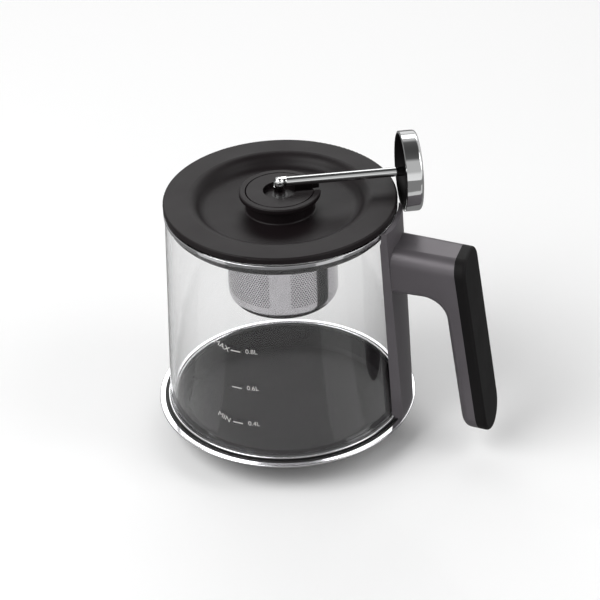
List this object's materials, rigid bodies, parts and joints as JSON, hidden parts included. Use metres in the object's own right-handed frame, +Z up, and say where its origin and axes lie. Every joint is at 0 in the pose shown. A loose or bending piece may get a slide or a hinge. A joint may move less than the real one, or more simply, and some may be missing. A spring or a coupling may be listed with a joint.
{
  "type": "automatic tea maker jug",
  "caption": "Glass tea jug with a side handle, a dished black lid, a tea basket on a lift stem and a folding lever with a cup-shaped knob.",
  "frame": {"origin": "centre of the foot ring, in the plane that the jug stands on", "axes": "+Z up, +X along the handle; the folded lever points 25 degrees from +X towards +Y"},
  "size_m": [0.1654, 0.1246, 0.151],
  "materials": {
    "glass": "clear",
    "seal_rubber": "matt",
    "dark_coating": "satin",
    "bright_chrome": "polished",
    "aluminium": "satin",
    "steel_small": "satin",
    "black_plastic": "matt",
    "brass": "satin",
    "grey_shell": "satin",
    "black_grip": "satin",
    "lid_plastic": "satin",
    "basket_steel": "perforated"
  },
  "bodies": {
    "jug": {"glass_body": "glass", "glass_gasket": "seal_rubber", "heater_pan": "dark_coating", "base_ring": "bright_chrome", "heat_spreader": "aluminium", "heating_element": "aluminium", "thermostat": "steel_small", "contact_board": "black_plastic", "contact_rings": "brass", "base_cover": "black_plastic", "foot_ring": "seal_rubber", "base_screws": "steel_small", "handle_bracket": "grey_shell", "bracket_pad": "seal_rubber", "handle_shell": "grey_shell", "grip_insert": "black_grip", "handle_screws": "steel_small"},
    "lid": {"lid_dish": "lid_plastic", "lid_underplate": "black_plastic", "lid_screws": "steel_small", "lid_gasket": "seal_rubber", "boss_cap": "lid_plastic", "guide_bush": "black_plastic"},
    "stem": {"lift_stem": "bright_chrome", "stem_collar": "black_plastic", "basket_cover": "basket_steel", "stem_nut": "steel_small"},
    "lever": {"pivot_pin": "steel_small", "lever_rod": "bright_chrome", "knob_cup": "bright_chrome", "knob_screw": "steel_small"},
    "basket": {"basket_shell": "basket_steel", "basket_rim": "basket_steel"}
  },
  "joints": [
    {"name": "lid_lift", "type": "slide", "parent": "jug", "child": "lid", "axis": [0, 0, 1], "range_m": [0, 0.06]},
    {"name": "stem_settle", "type": "slide", "parent": "lid", "child": "stem", "axis": [0, 0, -1], "range_m": [0, 0.004]},
    {"name": "lever_fold", "type": "hinge", "parent": "stem", "child": "lever", "pos_m": [0, 0, 0.1323], "axis": [0.4226, -0.9063, 0], "range_deg": [0, 90]},
    {"name": "basket_turn", "type": "hinge", "parent": "stem", "child": "basket", "pos_m": [0, 0, 0.1105], "axis": [0, 0, 1], "range_deg": [0, 30]}
  ]
}
